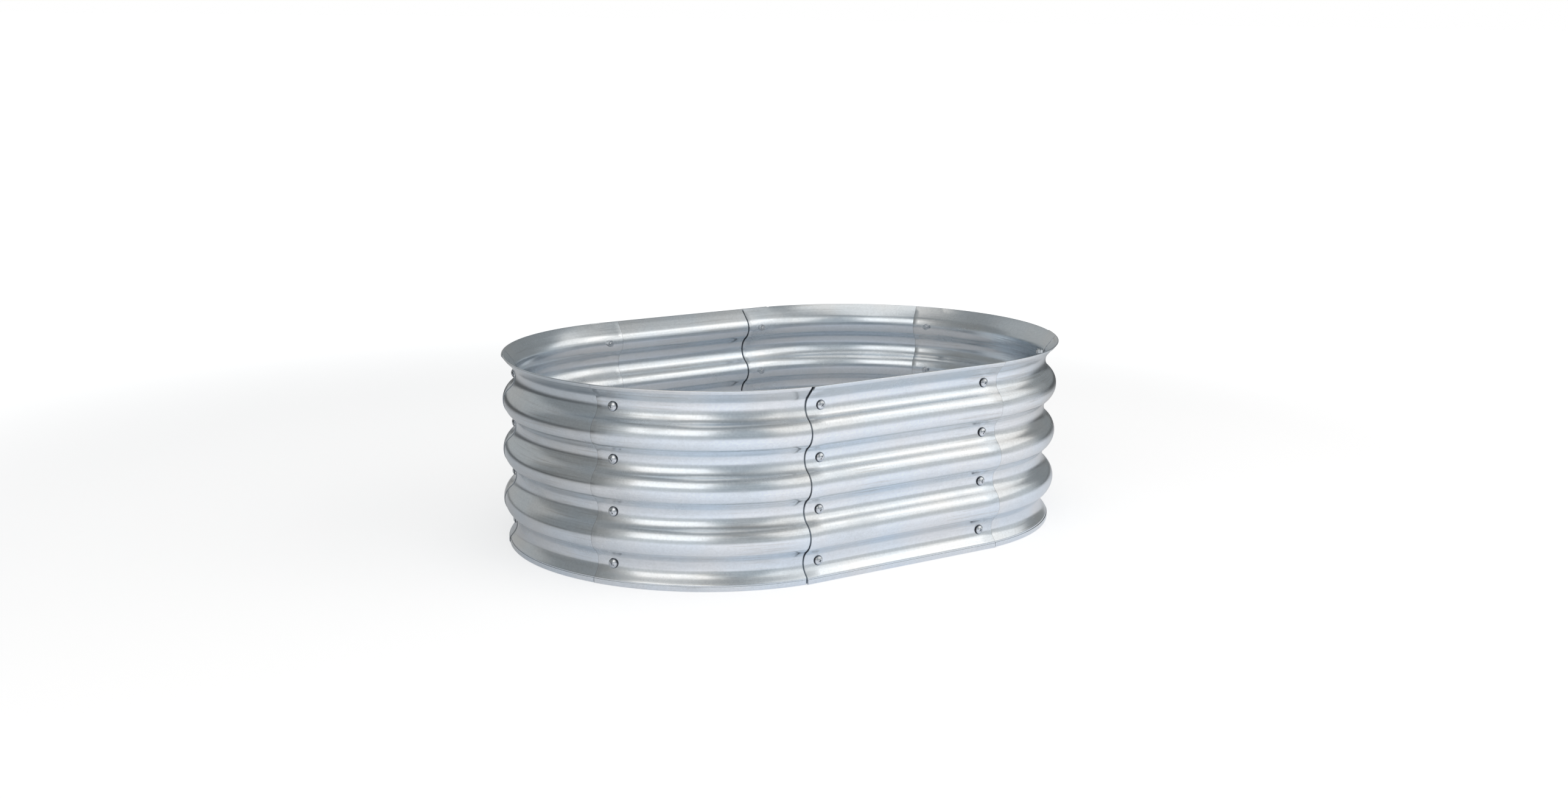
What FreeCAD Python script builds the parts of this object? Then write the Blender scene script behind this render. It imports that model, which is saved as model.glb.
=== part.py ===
"""Oval raised garden bed of corrugated, galvanised steel sheet, open at the top and the bottom.

Two straight panels run along the sides and three bent panels go round each end. Neighbouring panels
lap, and each lap is a seam: a column of bolts, one in every groove of the wave, with a nut on the
inside. Every panel has a folded hem along its foot and its rim.

The bed stands on Z = 0 with its centre over the origin. X runs along the straight panels, which lie
at -Y (front) and +Y (back). Sizes are in millimetres and angles in degrees.

The sheet's section is drawn in two coordinates. "out" is the distance outwards from the middle of the
sheet at the bottom of a groove, and "up" is the height. An offset moves the whole section outwards
along its own normal, so sheets of different offsets nest with an even gap.

Round forms that repeat are given a few flats that touch them: the bends of the wave, the plan of a
bent panel, the holes, the shanks and the heads. One flat of a bent panel is centred on each of its two
columns of holes, so lapped sheets lie flat on each other and the fasteners sit square.
"""

import FreeCAD
import Part

import os
from math import acos, atan, atan2, cos, degrees, hypot, pi, radians, sin, sqrt, tan

# The wave of the sheet, measured at the middle of its thickness.
sheet_thickness = 0.8
wave_pitch = 76.2
wave_depth = 18.2
wave_radius = 21.2
groove_count = 4

# The foot and the rim, past the lowest and the highest groove.
foot_reach = 30.0
rim_reach = 32.0
foot_strip_height = 8.0
foot_bend_radius = 2.0
hem_width = 7.0

# The plan. Every panel has its two columns of holes the same distance apart along the sheet.
hole_span = 304.8
bent_panels_per_end = 3

# The fasteners.
hole_diameter = 7.0
shank_diameter = 6.0
shank_past_nut = 2.0
head_diameter = 14.0
head_height = 4.0
nut_width = 10.0
nut_height = 5.0

# Clearances.
lap_gap = 0.2
seat_gap = 0.05
thread_gap = 0.05
hem_relief_gap = 1.0

# How many flats or folds stand for a round form.
flats_between_holes = 6
folds_per_bend = 4
folds_per_foot_bend = 2
shank_sides = 8
head_sides = 12
dome_steps = 2

# Places that follow from the sizes above.
layer_step = sheet_thickness + lap_gap
panel_angle = 180.0 / bent_panels_per_end
flat_angle = panel_angle / flats_between_holes
groove_radius = hole_span / radians(panel_angle)
end_centre_x = hole_span / 2
hole_to_end = groove_radius * tan(radians(flat_angle / 2))
hem_relief_angle = flat_angle / 2 + degrees(atan(hem_relief_gap / groove_radius))
groove_heights = [foot_reach + index * wave_pitch for index in range(groove_count)]
rim_height = groove_heights[-1] + rim_reach

# The flank between a groove and a ridge is the straight line that touches both of their arcs.
centre_rise = wave_pitch / 2
centre_inset = 2 * wave_radius - wave_depth
flank_angle = atan2(centre_rise, centre_inset) - acos(2 * wave_radius / hypot(centre_rise, centre_inset))

# The foot turns upright from the flank below the lowest groove.
foot_turn_rise = (wave_radius + foot_bend_radius) * sin(flank_angle)
foot_turn_out = (wave_radius + foot_bend_radius) * (1 - cos(flank_angle))
foot_flank_length = (foot_reach - foot_strip_height - foot_turn_rise) / cos(flank_angle)
foot_out = foot_turn_out + foot_flank_length * sin(flank_angle)

# Which sheet lies outside which at a seam, counted outwards.
INNER_LAYER, MIDDLE_LAYER, STRAIGHT_LAYER = 0, 1, 2

ORIGIN = FreeCAD.Vector(0, 0, 0)
OUTWARDS = FreeCAD.Vector(1, 0, 0)
UPWARDS = FreeCAD.Vector(0, 0, 1)


def layer_offset(layer):
    """Offset of the middle of the sheet in a layer."""
    return layer * layer_step


def on_circle(centre, radius, angle):
    """Point (out, up) on a circle, with the angle in radians from the outward direction."""
    return centre[0] + radius * cos(angle), centre[1] + radius * sin(angle)


def section_point(point):
    """A section's point in the XZ plane, with the axis of the end on Z."""
    return FreeCAD.Vector(groove_radius + point[0], 0, point[1])


def outline_face(points):
    """Face inside the straight lines that join a section's points in turn."""
    corners = [section_point(point) for point in points]
    return Part.Face(Part.makePolygon(corners + corners[:1]))


def folds(centre, radius, start_angle, end_angle, count):
    """Corners where a bend is folded; the flats between them and beside them touch its arc."""
    turn = (end_angle - start_angle) / count
    corner_radius = radius / cos(turn / 2)
    return [on_circle(centre, corner_radius, start_angle + turn * (fold + 0.5)) for fold in range(count)]


def rim_end(layer):
    """Where the middle of the sheet ends at the rim, in line with the flank above the top groove."""
    bend_radius = wave_radius - layer_offset(layer)
    flank_rise = rim_reach - bend_radius * sin(flank_angle)
    return wave_radius - bend_radius * cos(flank_angle) + flank_rise * tan(flank_angle), rim_height


def rim_point(layer, outwards, down=0.0):
    """Point near the rim's end, some way outwards from the middle of the sheet and down along it."""
    out, up = rim_end(layer)
    return (
        out + outwards * cos(flank_angle) - down * sin(flank_angle),
        up - outwards * sin(flank_angle) - down * cos(flank_angle),
    )


def sheet_side(layer, outwards):
    """Points of one side of the sheet from foot to rim."""
    offset = layer_offset(layer) + outwards
    foot_centre = (foot_out - foot_bend_radius, foot_strip_height)
    points = [(foot_out + offset, 0)]
    points += folds(foot_centre, foot_bend_radius + offset, 0, flank_angle, folds_per_foot_bend)
    for height in groove_heights:
        if height > groove_heights[0]:
            ridge_centre = (wave_depth - wave_radius, height - wave_pitch / 2)
            points += folds(ridge_centre, wave_radius + offset, -flank_angle, flank_angle, folds_per_bend)
        groove_centre = (wave_radius, height)
        start_angle, end_angle = pi + flank_angle, pi - flank_angle
        points += folds(groove_centre, wave_radius - offset, start_angle, end_angle, folds_per_bend)
    points.append(rim_point(layer, outwards))
    return points


def sheet_section(layer):
    """Section through the sheet without its hems."""
    inner_side = sheet_side(layer, -sheet_thickness / 2)
    outer_side = sheet_side(layer, sheet_thickness / 2)
    return outline_face(inner_side + outer_side[::-1])


def foot_hem_section(layer):
    """Section of the strip folded flat against the outside of the foot."""
    inside = foot_out + layer_offset(layer) + sheet_thickness / 2
    outside = inside + sheet_thickness
    return outline_face([(inside, 0), (outside, 0), (outside, hem_width), (inside, hem_width)])


def rim_hem_section(layer):
    """Section of the strip folded flat against the outside of the rim."""
    inside = sheet_thickness / 2
    outside = inside + sheet_thickness
    corners = [
        rim_point(layer, inside),
        rim_point(layer, outside),
        rim_point(layer, outside, hem_width),
        rim_point(layer, inside, hem_width),
    ]
    return outline_face(corners)


def turned(shape, angle):
    """The shape turned about Z."""
    shape.rotate(ORIGIN, UPWARDS, angle)
    return shape


def run_along(section, half_length):
    """A section run straight along Y, as far to one side as to the other."""
    section.translate(FreeCAD.Vector(0, -half_length, 0))
    return section.extrude(FreeCAD.Vector(0, 2 * half_length, 0))


def bent(section, first_seam, start_angle, end_angle):
    """A section taken round an end in flats from a panel's first seam on, cut off at two angles."""
    strip = run_along(section, 2 * hole_to_end)
    pieces = []
    for index in range(flats_between_holes + 1):
        middle = first_seam + index * flat_angle
        start = max(start_angle, middle - flat_angle / 2)
        end = min(end_angle, middle + flat_angle / 2)
        if start < end:
            sector = Part.makeCylinder(2 * groove_radius, rim_height, ORIGIN, UPWARDS, end - start)
            piece = turned(strip.copy(), middle).common(turned(sector, start))
            pieces.append(turned(piece, -90))
    return pieces


def ring(along, radius, sides):
    """Corners of a closed outline with a few sides round the X axis, whose sides touch a circle."""
    corner_radius = radius / cos(pi / sides)
    turns = [2 * pi * (index + 0.5) / sides for index in range(sides + 1)]
    return [FreeCAD.Vector(along, corner_radius * cos(turn), corner_radius * sin(turn)) for turn in turns]


def rod(start, end, radius, sides):
    """A rod with a few sides along the X axis."""
    return Part.Face(Part.makePolygon(ring(start, radius, sides))).extrude(OUTWARDS * (end - start))


def tapered(rings, top):
    """Solid whose flat sides run from one ring to the next and then up to a point."""
    faces = [Part.Face(Part.makePolygon(rings[0]))]
    for lower, upper in zip(rings, rings[1:]):
        sides = zip(lower, lower[1:], upper[1:], upper)
        faces += [Part.Face(Part.makePolygon([*corners, corners[0]])) for corners in sides]
    last = rings[-1]
    faces += [Part.Face(Part.makePolygon([start, end, top, start])) for start, end in zip(last, last[1:])]
    return Part.makeSolid(Part.makeShell(faces))


def seam_column(model, side, angle):
    """Copies of a shape on the X axis, one through every groove of a seam.

    The side is 1 at the right end and -1 at the left. The angle goes round the end from 0 at the front
    to 180 at the back, and the shape's place on the X axis is its distance from the end's axis.
    """
    direction = side * (angle - 90) + (180 if side < 0 else 0)
    column = turned(model.copy(), direction)
    column.translate(FreeCAD.Vector(side * end_centre_x, 0, 0))
    copies = []
    for height in groove_heights:
        copy = column.copy()
        copy.translate(UPWARDS * height)
        copies.append(copy)
    return Part.makeCompound(copies)


def drilled(panel, seams):
    """The panel with a hole through every groove at each of its seams."""
    drill = rod(groove_radius - wave_radius, groove_radius + wave_radius, hole_diameter / 2, shank_sides)
    for side, angle in seams:
        panel = panel.cut(seam_column(drill, side, angle))
    return panel


def bent_layer(position):
    """Layer of a bent panel; along an end the panels lie over and under each other in turn."""
    return INNER_LAYER if position % 2 else MIDDLE_LAYER


def lapped_layers(index):
    """Inner and outer layer at a seam; index counts an end's seams from the front."""
    before = STRAIGHT_LAYER if index == 0 else bent_layer(index - 1)
    after = STRAIGHT_LAYER if index == bent_panels_per_end else bent_layer(index)
    return min(before, after), max(before, after)


def bent_panel(position):
    """A panel bent round the right end; position counts the end's panels from the front.

    A hem stops short of the sheet that covers it.
    """
    layer = bent_layer(position)
    first_seam = position * panel_angle
    last_seam = first_seam + panel_angle
    first_covered = layer < lapped_layers(position)[1]
    last_covered = layer < lapped_layers(position + 1)[1]
    hem_start = first_seam + (hem_relief_angle if first_covered else -flat_angle / 2)
    hem_end = last_seam - (hem_relief_angle if last_covered else -flat_angle / 2)

    pieces = bent(sheet_section(layer), first_seam, first_seam - flat_angle / 2, last_seam + flat_angle / 2)
    pieces += bent(foot_hem_section(layer), first_seam, hem_start, hem_end)
    pieces += bent(rim_hem_section(layer), first_seam, hem_start, hem_end)
    panel = pieces[0].multiFuse(pieces[1:]).removeSplitter()
    panel.translate(FreeCAD.Vector(end_centre_x, 0, 0))
    return drilled(panel, [(1, first_seam), (1, last_seam)])


def straight_panel():
    """The straight panel at the front."""
    layer = STRAIGHT_LAYER
    sections = [sheet_section(layer), foot_hem_section(layer), rim_hem_section(layer)]
    pieces = [run_along(section, hole_span / 2 + hole_to_end) for section in sections]
    panel = turned(pieces[0].multiFuse(pieces[1:]).removeSplitter(), -90)
    return drilled(panel, [(1, 0), (-1, 0)])


def head_seat(outer_layer):
    """Distance from the end's axis to the underside of a head, whose edge touches the groove's sides."""
    surface_offset = layer_offset(outer_layer) + sheet_thickness / 2
    hollow_radius = wave_radius - surface_offset
    rise = hollow_radius - sqrt(hollow_radius ** 2 - (head_diameter / 2) ** 2)
    return groove_radius + surface_offset + rise + seat_gap


def nut_seat(inner_layer):
    """Distance from the end's axis to the face of a nut, which touches the back of the groove."""
    return groove_radius + layer_offset(inner_layer) - sheet_thickness / 2 - seat_gap


def bolt(inner_layer, outer_layer):
    """A bolt with a domed head, at its distance from the end's axis."""
    seat = head_seat(outer_layer)
    head_radius = head_diameter / 2
    dome_radius = (head_radius ** 2 + head_height ** 2) / (2 * head_height)
    dome_centre = (seat + head_height - dome_radius, 0)
    edge_angle = atan2(head_radius, seat - dome_centre[0])
    steps = [edge_angle * (1 - step / dome_steps) for step in range(dome_steps)]
    rings = [ring(*on_circle(dome_centre, dome_radius, step), head_sides) for step in steps]
    dome = tapered(rings, OUTWARDS * (seat + head_height))
    tip = nut_seat(inner_layer) - nut_height - shank_past_nut
    return rod(tip, seat, shank_diameter / 2, shank_sides).fuse(dome)


def nut(inner_layer, outer_layer):
    """A hexagon nut, at its distance from the end's axis."""
    face = nut_seat(inner_layer)
    hexagon = rod(face - nut_height, face, nut_width / 2, 6)
    return hexagon.cut(rod(face - nut_height, face, shank_diameter / 2 + thread_gap, shank_sides))


def bent_panel_name(position):
    """Name of a bent panel without its side."""
    if position == 0:
        return "front_panel"
    if position == bent_panels_per_end - 1:
        return "back_panel"
    number = "" if bent_panels_per_end == 3 else f"_{position}"
    return f"end_panel{number}"


def seam_name(side_name, index):
    """Name of a seam; index counts an end's seams from the front."""
    if index == 0:
        return f"front_{side_name}_seam"
    if index == bent_panels_per_end:
        return f"back_{side_name}_seam"
    half = "front" if 2 * index <= bent_panels_per_end else "back"
    number = "" if bent_panels_per_end == 3 else f"_{index}"
    return f"{side_name}_{half}_seam{number}"


def all_parts():
    """Every sub-part of the bed by its name. A bent panel on the left is one on the right turned round."""
    parts = {"front_panel": straight_panel(), "back_panel": turned(straight_panel(), 180)}
    for position in range(bent_panels_per_end):
        opposite = bent_panels_per_end - 1 - position
        parts[f"right_{bent_panel_name(position)}"] = bent_panel(position)
        parts[f"left_{bent_panel_name(position)}"] = turned(bent_panel(opposite), 180)
    for side_name, side in (("left", -1), ("right", 1)):
        for index in range(bent_panels_per_end + 1):
            for fastener in (bolt, nut):
                name = f"{seam_name(side_name, index)}_{fastener.__name__}s"
                model = fastener(*lapped_layers(index))
                parts[name] = seam_column(model, side, index * panel_angle)
    return parts


os.makedirs("parts", exist_ok=True)
for part_name, shape in all_parts().items():
    shape.exportStep(f"parts/{part_name}.step")
    print(f"{part_name}: {len(shape.Solids)} solid(s), {shape.Volume:.0f} mm3")
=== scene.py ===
"""Looks of an oval raised garden bed of corrugated, galvanised steel sheet.

The bed stands on Z = 0 with its centre over the origin, and X runs along its straight panels. Sizes are
in metres and angles in radians, unless a name ends in _degrees. An azimuth round the bed or round one of
its ends is 0 at the front (-Y) and grows towards the left (-X).
"""

import logging
from collections.abc import Callable, Sequence
from dataclasses import dataclass
from enum import Enum
from math import acos, asin, atan2, cos, hypot, pi, radians, sin, sqrt, tan

import bmesh
import bpy
from mathutils import Matrix, Vector

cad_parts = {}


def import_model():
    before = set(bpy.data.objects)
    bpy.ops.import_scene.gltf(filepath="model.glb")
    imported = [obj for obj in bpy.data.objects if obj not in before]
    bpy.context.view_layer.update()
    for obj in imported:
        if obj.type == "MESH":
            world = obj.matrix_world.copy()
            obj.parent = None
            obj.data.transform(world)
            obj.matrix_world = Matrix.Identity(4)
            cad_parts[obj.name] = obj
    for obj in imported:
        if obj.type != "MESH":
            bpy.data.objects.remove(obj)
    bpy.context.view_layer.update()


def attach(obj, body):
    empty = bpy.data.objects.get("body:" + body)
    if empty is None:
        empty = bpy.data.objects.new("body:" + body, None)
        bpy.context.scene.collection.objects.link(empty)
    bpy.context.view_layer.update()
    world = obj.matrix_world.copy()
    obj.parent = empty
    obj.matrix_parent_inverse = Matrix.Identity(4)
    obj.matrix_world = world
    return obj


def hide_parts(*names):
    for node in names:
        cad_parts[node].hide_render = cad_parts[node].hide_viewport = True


LOG = logging.getLogger("garden_bed")
BODY = "root"
MERGE_DISTANCE = 1e-6

Colour = tuple[float, float, float, float]


class Side(Enum):
    """An end of the bed, with the sign of its X."""

    LEFT = -1
    RIGHT = 1


class Layer(Enum):
    """Which sheet lies outside which where panels lap, counted outwards."""

    INNER = 0
    MIDDLE = 1
    OUTER = 2


class Cut(Enum):
    """What a cutting shape does to the one that it cuts, as Blender calls it."""

    TAKE_AWAY = "DIFFERENCE"
    CLIP_TO = "INTERSECT"


@dataclass(frozen=True)
class SheetWave:
    """The sheet's section: its wave, its foot and its rim.

    Attributes:
        thickness: Thickness of the sheet.
        pitch: Height of one wave.
        depth: From the bottom of a groove to the top of a ridge.
        bend_radius: Radius of the arcs of the grooves and ridges, at the middle of the sheet.
        grooves: How many grooves there are, each with a bolt at a seam.
        foot_reach: From the floor to the lowest groove.
        rim_reach: From the top groove to the rim.
        foot_strip_height: Height of the upright strip along the floor.
        foot_bend_radius: Inner radius of the bend above that strip.
        hem_width: Width of the sheet's folded hems.
        hem_gap: Gap in a folded hem.
        layer_step: From the middle of one sheet to that of the next where they lap.
        wave_bend_steps: Steps of the arc of a groove or a ridge.
        foot_bend_steps: Steps of the bend above the foot.
        hem_fold_steps: Steps of the fold of a hem.
        flank_steps: Steps of a straight flank.
        end_lean_degrees: Lean of the flanks that run to the foot and to the rim.
    """

    thickness: float = 0.0008
    pitch: float = 0.0762
    depth: float = 0.0182
    bend_radius: float = 0.0244
    grooves: int = 4
    foot_reach: float = 0.030
    rim_reach: float = 0.032
    foot_strip_height: float = 0.008
    foot_bend_radius: float = 0.002
    hem_width: float = 0.007
    hem_gap: float = 0.0003
    layer_step: float = 0.001
    wave_bend_steps: int = 14
    foot_bend_steps: int = 4
    hem_fold_steps: int = 8
    flank_steps: int = 2
    end_lean_degrees: float = 38.8

    @property
    def end_lean(self) -> float:
        """Lean of the flanks that run to the foot and to the rim, in radians."""
        return radians(self.end_lean_degrees)

    @property
    def flank_angle(self) -> float:
        """Lean of the straight flank that touches a groove's and a ridge's arc."""
        rise, inset = self.pitch / 2, 2 * self.bend_radius - self.depth
        return atan2(rise, inset) - acos(2 * self.bend_radius / hypot(rise, inset))

    @property
    def flank_length(self) -> float:
        """Length of the flank between a groove's and a ridge's arc."""
        rise, inset = self.pitch / 2, 2 * self.bend_radius - self.depth
        return sqrt(rise ** 2 + inset ** 2 - 4 * self.bend_radius ** 2)

    @property
    def foot_flank_length(self) -> float:
        """Length of the flank between the foot's bend and the lowest groove."""
        turn_rise = (self.bend_radius + self.foot_bend_radius) * sin(self.end_lean)
        return (self.foot_reach - self.foot_strip_height - turn_rise) / cos(self.end_lean)

    @property
    def foot_out(self) -> float:
        """How far the foot's strip lies outside the bottom of a groove."""
        turn_out = (self.bend_radius + self.foot_bend_radius) * (1 - cos(self.end_lean))
        return turn_out + self.foot_flank_length * sin(self.end_lean)

    @property
    def fold_reach(self) -> float:
        """Outer radius of the fold that turns the sheet back into a hem."""
        return self.hem_gap / 2 + self.thickness

    @property
    def groove_heights(self) -> list[float]:
        """Heights of the grooves' bottoms above the floor."""
        return [self.foot_reach + index * self.pitch for index in range(self.grooves)]

    def rim_flank_length(self, layer: Layer) -> float:
        """Length of the flank between the top groove and the rim."""
        radius = self.bend_radius - layer.value * self.layer_step
        return (self.rim_reach - radius * sin(self.end_lean)) / cos(self.end_lean)


@dataclass(frozen=True)
class BedPlan:
    """The bed seen from above.

    Attributes:
        hole_span: Between the two columns of holes of a panel, along the bottom of a groove.
        hole_to_end: From a column of holes to the end of its panel.
        bent_panels_per_end: How many panels go round one end.
        hem_relief: From the end of a covering panel to where the covered one's hem begins.
    """

    hole_span: float = 0.3048
    hole_to_end: float = 0.02546
    bent_panels_per_end: int = 3
    hem_relief: float = 0.0012

    @property
    def panel_angle(self) -> float:
        """Angle between the two columns of holes of a bent panel."""
        return pi / self.bent_panels_per_end

    @property
    def half_length(self) -> float:
        """Half of a panel's length along the bottom of a groove."""
        return self.hole_span / 2 + self.hole_to_end

    @property
    def groove_radius(self) -> float:
        """Radius of an end at the bottom of the grooves."""
        return self.hole_span / self.panel_angle

    @property
    def end_centre_x(self) -> float:
        """Distance of an end's axis from the middle of the bed."""
        return self.hole_span / 2


WAVE = SheetWave()
PLAN = BedPlan()


class SheetPath:
    """A wire that is drawn as a sheet is folded, by straight lengths and turns in the XZ plane."""

    def __init__(self, bm: bmesh.types.BMesh, x: float, z: float, heading: float) -> None:
        """Starts the wire.

        Args:
            bm: The mesh that it is drawn in.
            x: Where it starts, outwards.
            z: Where it starts, upwards.
            heading: Its direction, from 0 outwards to a quarter turn upwards.
        """
        self.bm = bm
        self.start = bm.verts.new((x, 0, z))
        self.tip = self.start
        self.heading = heading

    def straight(self, length: float, steps: int = 1) -> None:
        """Goes straight on.

        Args:
            length: How far it goes.
            steps: In how many equal steps.
        """
        step = Vector((cos(self.heading), 0, sin(self.heading))) * (length / steps)
        for _ in range(steps):
            drawn = bmesh.ops.extrude_vert_indiv(self.bm, verts=[self.tip])
            self.tip = drawn["verts"][0]
            self.tip.co += step

    def turn(self, radius: float, angle: float, steps: int) -> None:
        """Goes along an arc.

        Args:
            radius: The arc's radius.
            angle: How far it turns, to the left if positive and to the right if negative.
            steps: In how many equal steps.
        """
        side = 1 if angle > 0 else -1
        to_centre = self.heading + side * pi / 2
        centre = self.tip.co + Vector((cos(to_centre), 0, sin(to_centre))) * radius
        drawn = bmesh.ops.spin(
            self.bm, geom=[self.tip], cent=centre, axis=(0, -side, 0), angle=abs(angle), steps=steps
        )
        self.tip = next(item for item in drawn["geom_last"] if isinstance(item, bmesh.types.BMVert))
        self.heading += angle

    def measure(self, layer: bmesh.types.BMLayerItem) -> None:
        """Writes each point's distance along the wire into a layer.

        Args:
            layer: The layer, which was made before the wire's points.
        """
        before, here, reached = None, self.start, 0.0
        while here is not None:
            here[layer] = reached
            onward = [edge.other_vert(here) for edge in here.link_edges if edge.other_vert(here) != before]
            before, here = here, onward[0] if onward else None
            if here is not None:
                reached += (here.co - before.co).length


def turn_round(bm: bmesh.types.BMesh, steps: int) -> None:
    """Turns a section fully round the Z axis into a closed shape.

    Args:
        bm: The mesh that holds the section, which starts and ends on the axis.
        steps: Steps round the axis.
    """
    section = [*bm.verts, *bm.edges]
    bmesh.ops.spin(
        bm, geom=section, cent=(0, 0, 0), axis=(0, 0, 1), angle=2 * pi, steps=steps, use_merge=True
    )
    bmesh.ops.remove_doubles(bm, verts=bm.verts, dist=MERGE_DISTANCE)
    bmesh.ops.recalc_face_normals(bm, faces=bm.faces)


def finished_object(name: str, bm: bmesh.types.BMesh, sharp_degrees: float = 35.0) -> bpy.types.Object:
    """Makes an object of a mesh that lies in its place.

    Args:
        name: Name of the object and its mesh.
        bm: The mesh, which is freed.
        sharp_degrees: Edges that turn more than this stay sharp.

    Returns:
        The object, linked to the scene.
    """
    mesh = bpy.data.meshes.new(name)
    bm.to_mesh(mesh)
    bm.free()
    mesh.shade_smooth()
    mesh.set_sharp_from_angle(angle=radians(sharp_degrees))
    made = bpy.data.objects.new(name, mesh)
    bpy.context.scene.collection.objects.link(made)
    return made


def combined(
    name: str, base: bpy.types.Object, tools: Sequence[tuple[bpy.types.Object, Cut]]
) -> bpy.types.Mesh:
    """Cuts or clips a closed mesh with others.

    Args:
        name: Name of the mesh that comes out.
        base: The object that is cut. It is removed.
        tools: Each object that cuts, with what it does. They are removed.

    Returns:
        The mesh that comes out.
    """
    for tool, cut in tools:
        modifier = base.modifiers.new("cut", "BOOLEAN")
        modifier.operation = cut.value
        modifier.solver = "EXACT"
        modifier.object = tool
    evaluated = base.evaluated_get(bpy.context.evaluated_depsgraph_get())
    mesh = bpy.data.meshes.new_from_object(evaluated)
    mesh.name = name
    for used in [base, *(tool for tool, _ in tools)]:
        bpy.data.objects.remove(used)
    return mesh


class NodeBoard:
    """A node tree that is filled from left to right."""

    def __init__(self, tree: bpy.types.NodeTree) -> None:
        """Takes the tree that nodes are added to."""
        self.tree = tree

    def add(
        self, kind: str, inputs: dict[str | int, object] | None = None, **settings: object
    ) -> bpy.types.Node:
        """Adds a node.

        Args:
            kind: The node's type.
            inputs: Values or sockets for its inputs, by name or number.
            settings: Its other settings.

        Returns:
            The node.
        """
        node = self.tree.nodes.new(kind)
        for name, value in settings.items():
            setattr(node, name, value)
        self.fill_inputs(node, inputs or {})
        return node

    def add_group(self, group: bpy.types.ShaderNodeTree, inputs: dict[str, object]) -> bpy.types.Node:
        """Adds a node group with its inputs filled.

        Args:
            group: The node group.
            inputs: Values or sockets, by the input's name.

        Returns:
            The node.
        """
        node = self.add("ShaderNodeGroup", node_tree=group)
        self.fill_inputs(node, inputs)
        return node

    def fill_inputs(self, node: bpy.types.Node, inputs: dict[str | int, object]) -> None:
        """Fills a node's inputs.

        Args:
            node: The node.
            inputs: Values or sockets, by the input's name or number.
        """
        for name, value in inputs.items():
            if isinstance(value, bpy.types.NodeSocket):
                self.tree.links.new(value, node.inputs[name])
            else:
                node.inputs[name].default_value = value

    def math(self, operation: str, *values: object) -> bpy.types.NodeSocket:
        """Result of a Math node on numbers or sockets."""
        return self.add("ShaderNodeMath", dict(enumerate(values)), operation=operation).outputs[0]

    def scaled(
        self, vector: bpy.types.NodeSocket, scale: tuple[float, float, float]
    ) -> bpy.types.NodeSocket:
        """A coordinate stretched along its axes."""
        node = self.add("ShaderNodeMapping", {"Vector": vector, "Scale": scale})
        return node.outputs["Vector"]

    def noise(
        self, vector: bpy.types.NodeSocket, scale: float, detail: float = 3.0
    ) -> bpy.types.NodeSocket:
        """Soft noise from 0 to 1 about a half."""
        inputs = {"Vector": vector, "Scale": scale, "Detail": detail}
        return self.add("ShaderNodeTexNoise", inputs).outputs["Fac"]

    def ranged(
        self,
        value: bpy.types.NodeSocket,
        low: float | bpy.types.NodeSocket,
        high: float | bpy.types.NodeSocket,
        to_low: float = 0.0,
        to_high: float = 1.0,
    ) -> bpy.types.NodeSocket:
        """Takes a value smoothly from one range to another.

        Args:
            value: The value.
            low: Where its range starts.
            high: Where its range ends.
            to_low: What comes out at the start of its range and before.
            to_high: What comes out at the end of its range and past it.

        Returns:
            The socket with the new value.
        """
        inputs = {"Value": value, "From Min": low, "From Max": high, "To Min": to_low, "To Max": to_high}
        node = self.add("ShaderNodeMapRange", inputs, interpolation_type="SMOOTHSTEP")
        return node.outputs["Result"]

    def blend(self, factor: object, first: object, second: object) -> bpy.types.NodeSocket:
        """Blends two colours.

        Args:
            factor: The share of the second one, as a number or a socket.
            first: The first colour or its socket.
            second: The second colour or its socket.

        Returns:
            The socket with the blend.
        """
        node = self.add("ShaderNodeMix", data_type="RGBA")
        sockets = [socket for socket in node.inputs if socket.enabled]
        for socket, value in zip(sockets, (factor, first, second)):
            if isinstance(value, bpy.types.NodeSocket):
                self.tree.links.new(value, socket)
            else:
                socket.default_value = value
        return next(socket for socket in node.outputs if socket.enabled)


def empty_material(name: str) -> tuple[bpy.types.Material, NodeBoard]:
    """Makes a material without nodes.

    Args:
        name: Its name.

    Returns:
        The material and its board.
    """
    made = bpy.data.materials.new(name)
    made.use_nodes = True
    made.node_tree.nodes.clear()
    return made, NodeBoard(made.node_tree)


def finish_metal(
    board: NodeBoard,
    colour: bpy.types.NodeSocket,
    roughness: bpy.types.NodeSocket,
    normal: bpy.types.NodeSocket,
) -> None:
    """Ends a material of bare metal with its shader.

    Args:
        board: The material's nodes.
        colour: The metal's colour.
        roughness: Its roughness.
        normal: Its relief.
    """
    inputs = {"Base Color": colour, "Metallic": 1.0, "Roughness": roughness, "Normal": normal}
    shader = board.add("ShaderNodeBsdfPrincipled", inputs)
    board.add("ShaderNodeOutputMaterial", {"Surface": shader.outputs["BSDF"]})


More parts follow.
